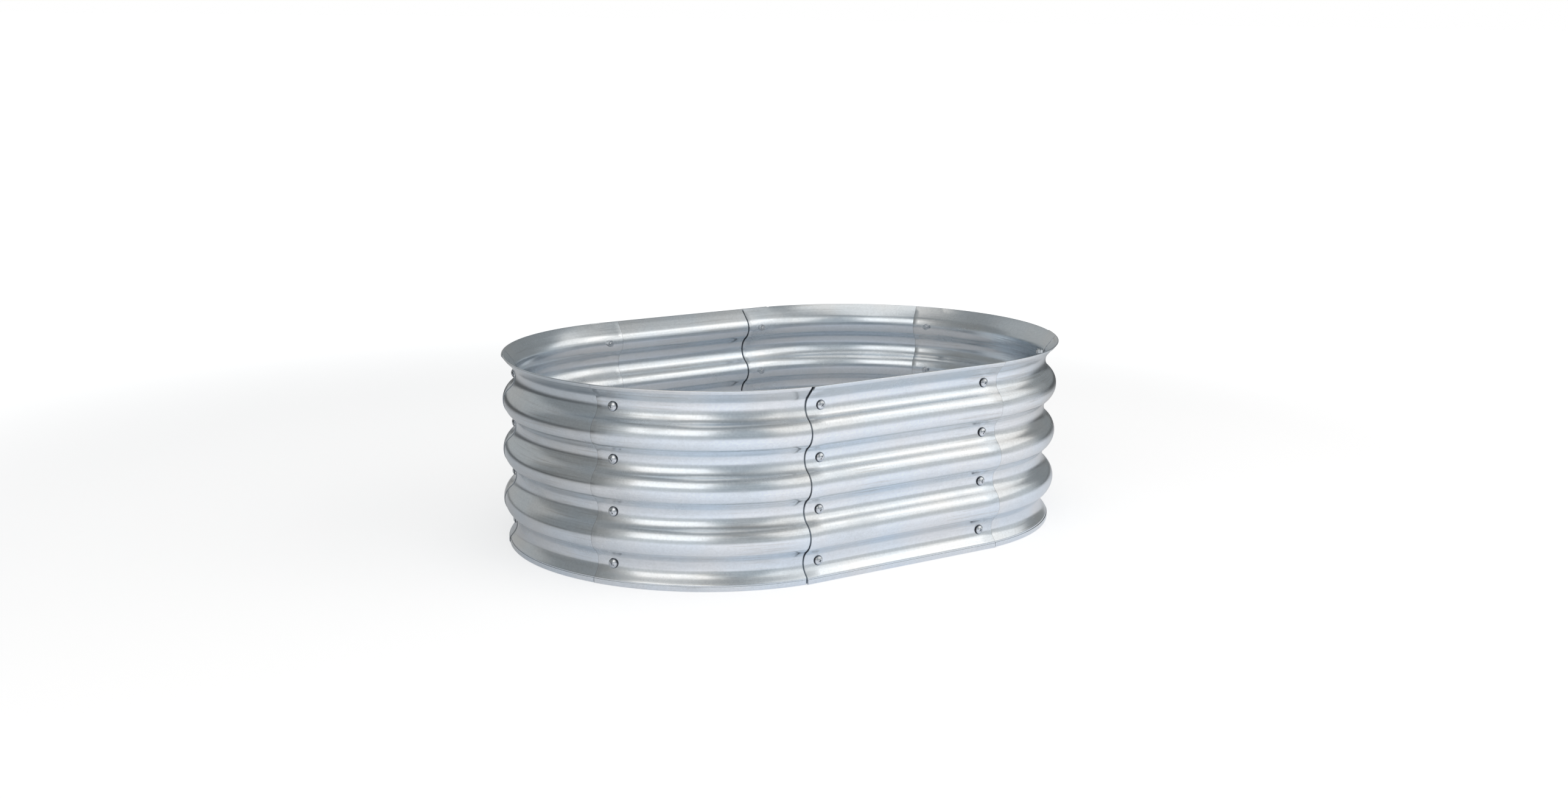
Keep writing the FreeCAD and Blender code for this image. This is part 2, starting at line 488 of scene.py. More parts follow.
@dataclass(frozen=True)
class Effect:
    """A surface effect that several materials share, as a shader node group.

    Attributes:
        name: The group's name.
        vectors: Names of its inputs that take a coordinate.
        numbers: Names of its inputs that take a number, with their default values.
        outputs: Names of its outputs, which give a number.
        fill: Adds the nodes inside, from the group's inputs, and returns the socket for each output.
    """

    name: str
    vectors: tuple[str, ...]
    numbers: dict[str, float]
    outputs: tuple[str, ...]
    fill: Callable[[NodeBoard, bpy.types.Node], dict[str, bpy.types.NodeSocket]]

    def group(self) -> bpy.types.ShaderNodeTree:
        """Builds the group, or finds the one that was built before.

        Returns:
            The group.
        """
        if self.name in bpy.data.node_groups:
            return bpy.data.node_groups[self.name]
        group = bpy.data.node_groups.new(self.name, "ShaderNodeTree")
        for label in self.vectors:
            group.interface.new_socket(label, in_out="INPUT", socket_type="NodeSocketVector")
        for label, value in self.numbers.items():
            socket = group.interface.new_socket(label, in_out="INPUT", socket_type="NodeSocketFloat")
            socket.default_value = value
        for label in self.outputs:
            group.interface.new_socket(label, in_out="OUTPUT", socket_type="NodeSocketFloat")
        board = NodeBoard(group)
        board.add("NodeGroupOutput", self.fill(board, board.add("NodeGroupInput")))
        return group

    def on(self, board: NodeBoard, inputs: dict[str, object]) -> bpy.types.NodeOutputs:
        """Places the group in a material.

        Args:
            board: The material's nodes.
            inputs: Values or sockets for the group's inputs.

        Returns:
            The outputs of the placed group.
        """
        return board.add_group(self.group(), inputs).outputs


def fill_rolling_lines(board: NodeBoard, given: bpy.types.Node) -> dict[str, bpy.types.NodeSocket]:
    """Makes the fine lines that rolling leaves along a sheet.

    Args:
        board: The group's nodes.
        given: The group's inputs.

    Returns:
        The lines, about zero.
    """
    along = given.outputs["Along Sheet"]
    fine = board.noise(board.scaled(along, (2.5, 900.0, 1.0)), 1.0, 4.0)
    broad = board.noise(board.scaled(along, (0.8, 160.0, 1.0)), 1.0)
    both = board.math("ADD", board.math("MULTIPLY", fine, 0.55), board.math("MULTIPLY", broad, 0.45))
    return {"Lines": board.math("SUBTRACT", both, 0.5)}


def fill_crystals(board: NodeBoard, given: bpy.types.Node) -> dict[str, bpy.types.NodeSocket]:
    """Makes the faint crystals of a zinc coat.

    Args:
        board: The group's nodes.
        given: The group's inputs.

    Returns:
        The crystals' shades, about zero.
    """
    inputs = {"Vector": given.outputs["Along Sheet"], "Scale": given.outputs["Crystals Per Metre"]}
    crystals = board.add("ShaderNodeTexVoronoi", inputs, feature="F1")
    shade = board.add("ShaderNodeSeparateColor", {"Color": crystals.outputs["Color"]})
    return {"Crystals": board.math("SUBTRACT", shade.outputs["Red"], 0.5)}


def fill_unevenness(board: NodeBoard, given: bpy.types.Node) -> dict[str, bpy.types.NodeSocket]:
    """Makes the slow changes of a sheet, in its tone and in its surface.

    Args:
        board: The group's nodes.
        given: The group's inputs.

    Returns:
        The mask of its warmer patches, and its shallow waves.
    """
    along = given.outputs["Along Sheet"]
    patches = board.ranged(board.noise(along, 7.0), 0.35, 0.68)
    return {"Patches": patches, "Waves": board.noise(board.scaled(along, (5.0, 12.0, 1.0)), 1.0, 2.0)}


def fill_handling_marks(board: NodeBoard, given: bpy.types.Node) -> dict[str, bpy.types.NodeSocket]:
    """Makes the dull smudges, rubbed streaks and thin scratches that handling leaves.

    Args:
        board: The group's nodes.
        given: The group's inputs.

    Returns:
        A mask of each.
    """
    along = given.outputs["Along Sheet"]
    smudges = board.ranged(board.noise(board.scaled(along, (9.0, 16.0, 1.0)), 1.0, 5.0), 0.52, 0.72)

    rubbed = board.noise(board.scaled(along, (9.0, 240.0, 1.0)), 1.0, 4.0)
    rubbed_places = board.ranged(board.noise(along, 5.0, 2.0), 0.50, 0.62)
    streaks = board.math("MULTIPLY", board.ranged(rubbed, 0.50, 0.70), rubbed_places)

    bend = board.math("MULTIPLY", board.noise(along, 6.0, 2.0), 0.03)
    aside = board.add("ShaderNodeCombineXYZ", {0: bend, 1: bend}).outputs["Vector"]
    bent = board.add("ShaderNodeVectorMath", {0: along, 1: aside}, operation="ADD").outputs["Vector"]
    scratched = board.noise(board.scaled(bent, (6.0, 420.0, 1.0)), 1.0, 1.0)
    scratched_places = board.ranged(board.noise(along, 14.0, 2.0), 0.56, 0.66)
    scratches = board.math("MULTIPLY", board.ranged(scratched, 0.74, 0.78), scratched_places)
    return {"Smudges": smudges, "Streaks": streaks, "Scratches": scratches}


def fill_cut_end_shade(board: NodeBoard, given: bpy.types.Node) -> dict[str, bpy.types.NodeSocket]:
    """Makes the mask of a painted shade line along the cut ends of a sheet, for the shadow at a seam.

    Args:
        board: The group's nodes.
        given: The group's inputs.

    Returns:
        Their mask.
    """
    along = board.add("ShaderNodeSeparateXYZ", {0: given.outputs["Along Sheet"]}).outputs["X"]
    from_middle = board.math("ABSOLUTE", along)
    width = given.outputs["Width"]
    start = board.math("SUBTRACT", given.outputs["Half Length"], width)
    full = board.math("ADD", start, board.math("MULTIPLY", width, 0.5))
    return {"Ends": board.ranged(from_middle, start, full)}


def fill_plating_marks(board: NodeBoard, given: bpy.types.Node) -> dict[str, bpy.types.NodeSocket]:
    """Makes the dull clouds and small marks of a plated fastener.

    Args:
        board: The group's nodes.
        given: The group's inputs.

    Returns:
        The mask of the clouds, and the height of the marks.
    """
    place = given.outputs["Place"]
    clouds = board.ranged(board.noise(place, 260.0, 4.0), 0.40, 0.72)
    return {"Clouds": clouds, "Marks": board.noise(place, 900.0)}


ROLLING_LINES = Effect("rolling lines", ("Along Sheet",), {}, ("Lines",), fill_rolling_lines)
CRYSTALS = Effect(
    "zinc crystals", ("Along Sheet",), {"Crystals Per Metre": 420.0}, ("Crystals",), fill_crystals
)
UNEVENNESS = Effect("unevenness", ("Along Sheet",), {}, ("Patches", "Waves"), fill_unevenness)
HANDLING_MARKS = Effect(
    "handling marks", ("Along Sheet",), {}, ("Smudges", "Streaks", "Scratches"), fill_handling_marks
)
CUT_END_SHADE = Effect(
    "cut ends", ("Along Sheet",), {"Half Length": 0.18, "Width": 0.001}, ("Ends",), fill_cut_end_shade
)
PLATING_MARKS = Effect("plating marks", ("Place",), {}, ("Clouds", "Marks"), fill_plating_marks)


@dataclass(frozen=True)
class GalvanisedSheet:
    """Bright galvanised sheet with fine rolling lines.

    Attributes:
        shift: Moves the pattern, so that no two panels look the same.
        tone: Colour of the clean zinc.
        warm_tone: Colour of its warmer patches.
        dull_tone: Colour of its smudges.
        streak_tone: Colour of its rubbed streaks.
        cut_end_shade_tone: Colour of the painted shade along its cut ends, for the shadow line at a seam.
        cut_end_shade_width: Width of that painted shade along its cut ends.
        smudge_cover: How much of the clean colour a smudge hides.
        streak_cover: How much of the clean colour a streak hides.
        line_shade: How much the rolling lines change its brightness.
        crystal_shade: How much the crystals change its brightness.
        roughness: Roughness of the clean zinc.
        smudge_roughness: What a smudge adds to it.
        line_roughness: What the rolling lines add to it.
        scratch_roughness: What a scratch adds to it.
        line_depth: Depth of the rolling lines' relief.
        wave_depth: Depth of the sheet's shallow waves, in depths of the lines.
        scratch_depth: Depth of a scratch, in depths of the lines.
    """

    shift: tuple[float, float, float]
    tone: Colour = (0.72, 0.785, 0.845, 1.0)
    warm_tone: Colour = (0.765, 0.785, 0.80, 1.0)
    dull_tone: Colour = (0.60, 0.645, 0.68, 1.0)
    streak_tone: Colour = (0.46, 0.455, 0.44, 1.0)
    cut_end_shade_tone: Colour = (0.46, 0.48, 0.50, 1.0)
    cut_end_shade_width: float = 0.0008
    smudge_cover: float = 0.45
    streak_cover: float = 0.40
    line_shade: float = 0.24
    crystal_shade: float = 0.07
    roughness: float = 0.22
    smudge_roughness: float = 0.10
    line_roughness: float = 0.10
    scratch_roughness: float = 0.08
    line_depth: float = 0.000022
    wave_depth: float = 9.0
    scratch_depth: float = 0.6

    def material(self, name: str) -> bpy.types.Material:
        """Builds the material.

        Args:
            name: Its name.

        Returns:
            The material.
        """
        made, board = empty_material(name)
        uv = board.add("ShaderNodeUVMap", uv_map="along_sheet").outputs["UV"]
        place = board.add("ShaderNodeMapping", {"Vector": uv, "Location": self.shift}).outputs["Vector"]
        lines = ROLLING_LINES.on(board, {"Along Sheet": place})["Lines"]
        crystals = CRYSTALS.on(board, {"Along Sheet": place})["Crystals"]
        uneven = UNEVENNESS.on(board, {"Along Sheet": place})
        marks = HANDLING_MARKS.on(board, {"Along Sheet": place})
        ends = {"Along Sheet": uv, "Half Length": PLAN.half_length, "Width": self.cut_end_shade_width}
        cut_end_shade = CUT_END_SHADE.on(board, ends)["Ends"]

        colour = board.blend(uneven["Patches"], self.tone, self.warm_tone)
        smudged = board.math("MULTIPLY", marks["Smudges"], self.smudge_cover)
        colour = board.blend(smudged, colour, self.dull_tone)
        streaked = board.math("MULTIPLY", marks["Streaks"], self.streak_cover)
        colour = board.blend(streaked, colour, self.streak_tone)
        # Painted shade: a narrow darker band at each cut end stands in for the shadow line at the seam.
        colour = board.blend(cut_end_shade, colour, self.cut_end_shade_tone)
        grain = board.math("MULTIPLY", lines, self.line_shade)
        grain = board.math("ADD", grain, board.math("MULTIPLY", crystals, self.crystal_shade))
        bright = board.math("ADD", 1.0, grain)
        shaded = board.add("ShaderNodeVectorMath", {0: colour, "Scale": bright}, operation="SCALE")

        rough = self.roughness
        for mark, added in (
            (marks["Smudges"], self.smudge_roughness),
            (lines, self.line_roughness),
            (marks["Scratches"], self.scratch_roughness),
        ):
            rough = board.math("ADD", rough, board.math("MULTIPLY", mark, added))

        height = board.math("ADD", lines, board.math("MULTIPLY", uneven["Waves"], self.wave_depth))
        cut_in = board.math("MULTIPLY", marks["Scratches"], self.scratch_depth)
        height = board.math("SUBTRACT", height, cut_in)
        bump = board.add("ShaderNodeBump", {"Height": height, "Distance": self.line_depth, "Strength": 1.0})
        finish_metal(board, shaded.outputs["Vector"], rough, bump.outputs["Normal"])
        return made


@dataclass(frozen=True)
class PlatedSteel:
    """Zinc-plated steel of a turned or pressed fastener.

    Attributes:
        tone: Colour of the plating.
        dull_tone: Colour of its dull clouds.
        rim_shade_tone: Colour of the painted shade round the edge of a head, for the shaded groove it
            reflects.
        edge_reach: Distances from the axis between which that painted shade comes in.
        cloud_cover: How much of the plating's colour a cloud hides.
        roughness: Roughness of the clean plating.
        cloud_roughness: What a cloud adds to it.
        mark_depth: Depth of its small marks.
    """

    tone: Colour = (0.68, 0.71, 0.74, 1.0)
    dull_tone: Colour = (0.34, 0.36, 0.39, 1.0)
    rim_shade_tone: Colour = (0.16, 0.17, 0.19, 1.0)
    edge_reach: tuple[float, float] = (0.0059, 0.0068)
    cloud_cover: float = 0.5
    roughness: float = 0.12
    cloud_roughness: float = 0.14
    mark_depth: float = 0.00003

    def material(self, name: str) -> bpy.types.Material:
        """Builds the material.

        Args:
            name: Its name.

        Returns:
            The material.
        """
        made, board = empty_material(name)
        place = board.add("ShaderNodeTexCoord").outputs["Object"]
        marks = PLATING_MARKS.on(board, {"Place": place})
        clouded = board.math("MULTIPLY", marks["Clouds"], self.cloud_cover)
        colour = board.blend(clouded, self.tone, self.dull_tone)
        # Painted shade: a dark ring round the head's edge, set by distance from the axis, stands in for the
        # shaded groove that the head reflects.
        turned = board.add("ShaderNodeUVMap", uv_map="turned").outputs["UV"]
        from_axis = board.add("ShaderNodeSeparateXYZ", {0: turned}).outputs["X"]
        colour = board.blend(board.ranged(from_axis, *self.edge_reach), colour, self.rim_shade_tone)
        clouded = board.math("MULTIPLY", marks["Clouds"], self.cloud_roughness)
        rough = board.math("ADD", self.roughness, clouded)
        bump = board.add("ShaderNodeBump", {"Height": marks["Marks"], "Distance": self.mark_depth})
        finish_metal(board, colour, rough, bump.outputs["Normal"])
        return made


@dataclass(frozen=True)
class Panel:
    """A corrugated panel with folded hems, built with its middle outwards along X.

    Attributes:
        name: Name of the CAD node that it stands for.
        layer: Where it lies at its laps.
        facing: Azimuth that its middle faces, round the middle of the bed or its end.
        end: The end that it goes round, or None for a straight panel.
        covered_low: Whether another sheet covers its end at the lower azimuth.
        covered_high: Whether another sheet covers its end at the higher azimuth.
        finish: Its finish.
        corner_lift: How far its rim stands off at its ends, the one at the negative side first.
        bent_steps: Steps of a bent panel between its laps.
        bent_lap_steps: Steps of each of its laps.
        straight_steps: Steps of a straight panel between its laps.
        straight_lap_steps: Steps of each of its laps.
        lift_length: How far from an end the rim stands off.
        lift_depth: How far below the rim the sheet stands off.
        edge_rounding: Rounding of the cut edges at its ends.
        sharp_degrees: Edges that turn more than this stay sharp.
        square_degrees: Edges of the cut ends that turn more than this are rounded.
    """

    name: str
    layer: Layer
    facing: float
    end: Side | None
    covered_low: bool
    covered_high: bool
    finish: GalvanisedSheet
    corner_lift: tuple[float, float] = (0.0004, 0.0004)
    bent_steps: int = 44
    bent_lap_steps: int = 6
    straight_steps: int = 12
    straight_lap_steps: int = 2
    lift_length: float = 0.045
    lift_depth: float = 0.050
    edge_rounding: float = 0.0002
    sharp_degrees: float = 25.0
    square_degrees: float = 69.0

    def section(self, bm: bmesh.types.BMesh) -> tuple[bmesh.types.BMLayerItem, float, float]:
        """Draws the outer side of the sheet from the foot's hem to the rim's hem.

        Args:
            bm: The mesh that it is drawn in.

        Returns:
            The layer with each point's distance along the sheet, and the distances where the foot's hem
            ends and the rim's hem begins.
        """
        wave, lean, end_lean = WAVE, WAVE.flank_angle, WAVE.end_lean
        distance = bm.verts.layers.float.new("distance")
        offset = self.layer.value * wave.layer_step + wave.thickness / 2
        x = PLAN.groove_radius + wave.foot_out + offset + wave.hem_gap
        path = SheetPath(bm, x, wave.hem_width, -pi / 2)
        path.straight(wave.hem_width - wave.fold_reach)
        path.turn(wave.hem_gap / 2, -pi, wave.hem_fold_steps)
        foot_hem_end = path.tip
        path.straight(wave.foot_strip_height - wave.fold_reach)
        path.turn(wave.foot_bend_radius + offset, end_lean, wave.foot_bend_steps)
        path.straight(wave.foot_flank_length, wave.flank_steps)
        for groove in range(wave.grooves):
            if groove:
                path.straight(wave.flank_length, wave.flank_steps)
                path.turn(wave.bend_radius + offset, 2 * lean, wave.wave_bend_steps)
                path.straight(wave.flank_length, wave.flank_steps)
            from_below = lean if groove else end_lean
            onward = lean if groove < wave.grooves - 1 else end_lean
            path.turn(wave.bend_radius - offset, -from_below - onward, wave.wave_bend_steps)
        path.straight(wave.rim_flank_length(self.layer) - wave.fold_reach, wave.flank_steps)
        rim_hem_start = path.tip
        path.turn(wave.hem_gap / 2, -pi, wave.hem_fold_steps)
        path.straight(wave.hem_width - wave.fold_reach)
        path.measure(distance)
        return distance, foot_hem_end[distance], rim_hem_start[distance]

    def swept(self, bm: bmesh.types.BMesh) -> list[bmesh.types.BMFace]:
        """Takes the section along the panel.

        Args:
            bm: The mesh that holds the section.

        Returns:
            The faces of the two short stretches at the ends, where a covered panel has no hem.
        """
        lap = 2 * PLAN.hole_to_end + PLAN.hem_relief
        between = 2 * PLAN.half_length - 2 * lap
        lap_steps, steps = self.bent_lap_steps, self.bent_steps
        if self.end is None:
            lap_steps, steps = self.straight_lap_steps, self.straight_steps
        self.move_section(bm, -PLAN.half_length)
        profile = self.sweep(bm, list(bm.edges), lap, lap_steps)
        first_lap = list(bm.faces)
        profile = self.sweep(bm, profile, between, steps)
        before = set(bm.faces)
        self.sweep(bm, profile, lap, lap_steps)
        last_lap = [face for face in bm.faces if face not in before]
        covered = []
        if self.covered_high:
            covered += first_lap
        if self.covered_low:
            covered += last_lap
        return covered

    def move_section(self, bm: bmesh.types.BMesh, along: float) -> None:
        """Moves the section along the panel from its middle.

        Args:
            bm: The mesh that holds the section.
            along: How far it is moved.
        """
        if self.end is None:
            bmesh.ops.translate(bm, verts=bm.verts, vec=(0, along, 0))
        else:
            turn = Matrix.Rotation(along / PLAN.groove_radius, 3, "Z")
            bmesh.ops.rotate(bm, verts=bm.verts, cent=(0, 0, 0), matrix=turn)

    def sweep(
        self, bm: bmesh.types.BMesh, profile: list[bmesh.types.BMEdge], length: float, steps: int
    ) -> list[bmesh.types.BMEdge]:
        """Draws faces along a stretch of the panel.

        Args:
            bm: The mesh.
            profile: The edges of the section where the stretch begins.
            length: The stretch's length.
            steps: In how many steps it is drawn.

        Returns:
            The edges of the section where the stretch ends.
        """
        if self.end is None:
            for _ in range(steps):
                drawn = bmesh.ops.extrude_edge_only(bm, edges=profile)["geom"]
                points = [item for item in drawn if isinstance(item, bmesh.types.BMVert)]
                bmesh.ops.translate(bm, verts=points, vec=(0, length / steps, 0))
                profile = [item for item in drawn if isinstance(item, bmesh.types.BMEdge)]
            return profile
        points = list({point for edge in profile for point in edge.verts})
        drawn = bmesh.ops.spin(
            bm, geom=points + profile, cent=(0, 0, 0), axis=(0, 0, 1),
            angle=length / PLAN.groove_radius, steps=steps,
        )
        return [item for item in drawn["geom_last"] if isinstance(item, bmesh.types.BMEdge)]

    def along(self, point: Vector) -> float:
        """Distance of a point along the panel from its middle."""
        return point.y if self.end is None else atan2(point.y, point.x) * PLAN.groove_radius

    def outwards(self, point: Vector) -> Vector:
        """Direction outwards at a point of the panel."""
        return Vector((1, 0, 0)) if self.end is None else Vector((point.x, point.y, 0)).normalized()

    def lift_ends(self, bm: bmesh.types.BMesh) -> None:
        """Lets the rim stand off a little at the panel's two ends.

        Args:
            bm: The sheet.
        """
        top = max(point.co.z for point in bm.verts)
        for point in bm.verts:
            along = self.along(point.co)
            near_end = max(0.0, 1 - (PLAN.half_length - abs(along)) / self.lift_length)
            near_rim = max(0.0, 1 - (top - point.co.z) / self.lift_depth)
            lift = self.corner_lift[0 if along < 0 else 1]
            point.co += self.outwards(point.co) * (lift * near_end ** 2 * near_rim ** 1.5)

    def at_end(self, point: bmesh.types.BMVert) -> bool:
        """Whether a point lies on one of the panel's two ends."""
        return PLAN.half_length - abs(self.along(point.co)) < 10 * MERGE_DISTANCE

    def round_ends(self, bm: bmesh.types.BMesh) -> None:
        """Rounds the cut edges at the panel's two ends.

        Args:
            bm: The sheet with its thickness.
        """
        edges = []
        for edge in bm.edges:
            if all(self.at_end(point) for point in edge.verts) and len(edge.link_faces) == 2:
                if edge.calc_face_angle() > radians(self.square_degrees):
                    edges.append(edge)
        bmesh.ops.bevel(
            bm, geom=edges, offset=self.edge_rounding, offset_type="OFFSET", segments=2, profile=0.5,
            affect="EDGES", clamp_overlap=True, material=-1,
        )

    def lay_uv(self, bm: bmesh.types.BMesh, distance: bmesh.types.BMLayerItem) -> None:
        """Lays the map in metres: along the panel, and along the section from the foot.

        Args:
            bm: The sheet.
            distance: The layer with each point's distance along the section.
        """
        uv = bm.loops.layers.uv.new("along_sheet")
        for face in bm.faces:
            for corner in face.loops:
                corner[uv].uv = (self.along(corner.vert.co), corner.vert[distance])

    def build(self) -> bpy.types.Object:
        """Builds and dresses the panel.

        Returns:
            The finished object.
        """
        bm = bmesh.new()
        distance, foot_hem_end, rim_hem_start = self.section(bm)
        hem_faces = []
        for face in self.swept(bm):
            middle = sum(point[distance] for point in face.verts) / len(face.verts)
            if middle < foot_hem_end or middle > rim_hem_start:
                hem_faces.append(face)
        bmesh.ops.delete(bm, geom=hem_faces, context="FACES")
        loose = [edge for edge in bm.edges if not edge.link_faces]
        bmesh.ops.delete(bm, geom=loose, context="EDGES")
        self.lift_ends(bm)
        self.lay_uv(bm, distance)
        bm.faces.ensure_lookup_table()
        bm.normal_update()
        largest = max(bm.faces, key=lambda face: face.calc_area())
        if largest.normal.dot(self.outwards(largest.calc_center_median())) < 0:
            bmesh.ops.reverse_faces(bm, faces=bm.faces)
        bmesh.ops.solidify(bm, geom=list(bm.faces), thickness=WAVE.thickness)
        self.round_ends(bm)
        turn = Matrix.Rotation(-pi / 2 - self.facing, 3, "Z")
        bmesh.ops.rotate(bm, verts=bm.verts, cent=(0, 0, 0), matrix=turn)
        if self.end is not None:
            centre = Vector((self.end.value * PLAN.end_centre_x, 0, 0))
            bmesh.ops.translate(bm, verts=bm.verts, vec=centre)
        made = finished_object(f"{self.name}_sheet", bm, self.sharp_degrees)
        made.data.materials.append(self.finish.material(f"{self.name}_zinc"))
        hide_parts(self.name)
        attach(made, BODY)
        return made


def all_panels() -> list[Panel]:
    """Lists the bed's panels.

    Returns:
        The two straight panels and the bent ones.
    """
    front_sheet, back_sheet = GalvanisedSheet((0.13, 0.4, 0.0)), GalvanisedSheet((2.13, 1.4, 0.0))
    front_lift = (0.0013, 0.0005)
    panels = [
        Panel("front_panel", Layer.OUTER, 0.0, None, False, False, front_sheet, front_lift),
        Panel("back_panel", Layer.OUTER, pi, None, False, False, back_sheet),
    ]
    places = [("front", Layer.MIDDLE), ("end", Layer.INNER), ("back", Layer.MIDDLE)]
    for side in Side:
        for index, (place, layer) in enumerate(places):
            facing = -side.value * (index + 0.5) * PLAN.panel_angle
            covered_low = layer is Layer.INNER or (place == "front") == (side is Side.LEFT)
            covered_high = layer is Layer.INNER or (place == "back") == (side is Side.LEFT)
            sheet = GalvanisedSheet((3.7 * index + 1.9 * side.value, 0.9 * index, 0.0))
            name = f"{side.name.lower()}_{place}_panel"
            panels.append(Panel(name, layer, facing, side, covered_low, covered_high, sheet))
    return panels


@dataclass(frozen=True)
class Bolt:
    """A bolt with a domed head and a cross recess, with the underside of its head on Z = 0.

    Attributes:
        head_radius: Radius of the head.
        head_height: Height of the head at its middle.
        edge_height: Height of the head's upright edge.
        edge_rounding: Rounding of the head's lower edge.
        shank_radius: Outer radius of the thread.
        thread_depth: Depth of the thread.
        thread_pitch: Height of one turn of the thread.
        thread_flank: Height of one flank of the thread's ridge, in pitches.
        thread_root: Where the ridge starts inside the shank, as a share of the shank's core.
        thread_run_out: Turns that the ridge ends before the bare length does.
        bare_length: Length of the shank without a thread, below the head.
        recess_width: Width of the cross recess, at the top of the blade that cuts it.
        recess_slot: Width of one of its slots there.
        recess_depth: Depth of the recess.
        recess_taper: Width of the recess at its bottom, as a share of its width at the top.
        recess_slot_taper: The same for the width of a slot.
        around: Steps round the head and the shank.
        dome_steps: Steps from the head's edge to its middle.
        edge_steps: Steps of the rounding of its edge.
        steps_per_turn: Steps of one turn of the thread.
    """

    head_radius: float = 0.007
    head_height: float = 0.004
    edge_height: float = 0.0007
    edge_rounding: float = 0.0003
    shank_radius: float = 0.003
    thread_depth: float = 0.0003
    thread_pitch: float = 0.001
    thread_flank: float = 0.42
    thread_root: float = 0.98
    thread_run_out: float = 1.5
    bare_length: float = 0.004
    recess_width: float = 0.0088
    recess_slot: float = 0.0019
    recess_depth: float = 0.0024
    recess_taper: float = 0.35
    recess_slot_taper: float = 0.7
    around: int = 40
    dome_steps: int = 12
    edge_steps: int = 3
    steps_per_turn: int = 18

    @property
    def core_radius(self) -> float:
        """Radius of the shank between the thread's turns."""
        return self.shank_radius - self.thread_depth

    def lathed(self, length: float) -> bmesh.types.BMesh:
        """Turns the head and the shank round the axis.

        Args:
            length: From the underside of the head to the tip.

        Returns:
            Their mesh.
        """
        bm = bmesh.new()
        path = SheetPath(bm, 0, -length, 0)
        path.straight(self.core_radius - self.thread_depth)
        path.heading = pi / 4
        path.straight(self.thread_depth * sqrt(2))
        path.heading = pi / 2
        path.straight(length - self.thread_depth)
        path.heading = 0
        path.straight(self.head_radius - self.core_radius - self.edge_rounding)
        path.turn(self.edge_rounding, pi / 2, self.edge_steps)
        path.straight(self.edge_height - self.edge_rounding)
        rise = self.head_height - self.edge_height
        dome_radius = (self.head_radius ** 2 + rise ** 2) / (2 * rise)
        lean = asin(self.head_radius / dome_radius)
        path.heading = pi - lean
        path.turn(dome_radius, lean, self.dome_steps)
        turn_round(bm, self.around)
        return bm

    def recess_blade(self, turn: float) -> bmesh.types.BMesh:
        """Makes one of the two tapered blades that cut the cross.

        Args:
            turn: How far the blade is turned about the axis.

        Returns:
            Its mesh.
        """
        bm = bmesh.new()
        bmesh.ops.create_cube(bm, size=1.0)
        bmesh.ops.scale(bm, verts=bm.verts, vec=(self.recess_width, self.recess_slot, 2 * self.recess_depth))
        floor = [point for point in bm.verts if point.co.z < 0]
        bmesh.ops.scale(bm, verts=floor, vec=(self.recess_taper, self.recess_slot_taper, 1))
        bmesh.ops.rotate(bm, verts=bm.verts, cent=(0, 0, 0), matrix=Matrix.Rotation(turn, 3, "Z"))
        bmesh.ops.translate(bm, verts=bm.verts, vec=(0, 0, self.head_height))
        return bm

    def wind_thread(self, bm: bmesh.types.BMesh, length: float) -> None:
        """Winds the thread's ridge round the shank, from its tip up to its bare part.

        Args:
            bm: The mesh that it is drawn in.
            length: From the underside of the head to the tip.
        """
        root = self.core_radius * self.thread_root
        rise, reach = self.thread_pitch * self.thread_flank, self.shank_radius - root
        path = SheetPath(bm, root, self.thread_depth - length, atan2(rise, reach))
        path.straight(hypot(rise, reach))
        path.heading = pi - path.heading
        path.straight(hypot(rise, reach))
        ridge = [path.start, *[edge.other_vert(path.start) for edge in path.start.link_edges], path.tip]
        bm.faces.new(ridge)
        turns = (length - self.bare_length) / self.thread_pitch - self.thread_run_out
        steps = int(turns * self.steps_per_turn)
        face = path.start.link_faces[0]
        bmesh.ops.spin(
            bm, geom=ridge + list(face.edges) + [face], cent=(0, 0, 0), axis=(0, 0, 1),
            angle=2 * pi * turns, steps=steps, dvec=(0, 0, turns * self.thread_pitch / steps),
        )

    def master(self, length: float) -> bpy.types.Mesh:
        """Builds the whole bolt.

        Args:
            length: From the underside of the head to the tip.

        Returns:
            Its mesh.
        """
        body = finished_object("bolt_body", self.lathed(length))
        blades = [finished_object("recess_blade", self.recess_blade(turn)) for turn in (0, pi / 2)]
        mesh = combined("bolt_master", body, [(blade, Cut.TAKE_AWAY) for blade in blades])
        bm = bmesh.new()
        bm.from_mesh(mesh)
        thread = bmesh.new()
        self.wind_thread(thread, length)
        bmesh.ops.recalc_face_normals(thread, faces=thread.faces)
        wound = bpy.data.meshes.new("thread")
        thread.to_mesh(wound)
        thread.free()
        bm.from_mesh(wound)
        self.lay_uv(bm)
        bm.to_mesh(mesh)
        bm.free()
        return mesh

    def lay_uv(self, bm: bmesh.types.BMesh) -> None:
        """Lays the map in metres: away from the axis, and along it.

        Args:
            bm: The bolt.
        """
        uv = bm.loops.layers.uv.new("turned")
        for face in bm.faces:
            for corner in face.loops:
                point = corner.vert.co
                corner[uv].uv = (hypot(point.x, point.y), point.z)


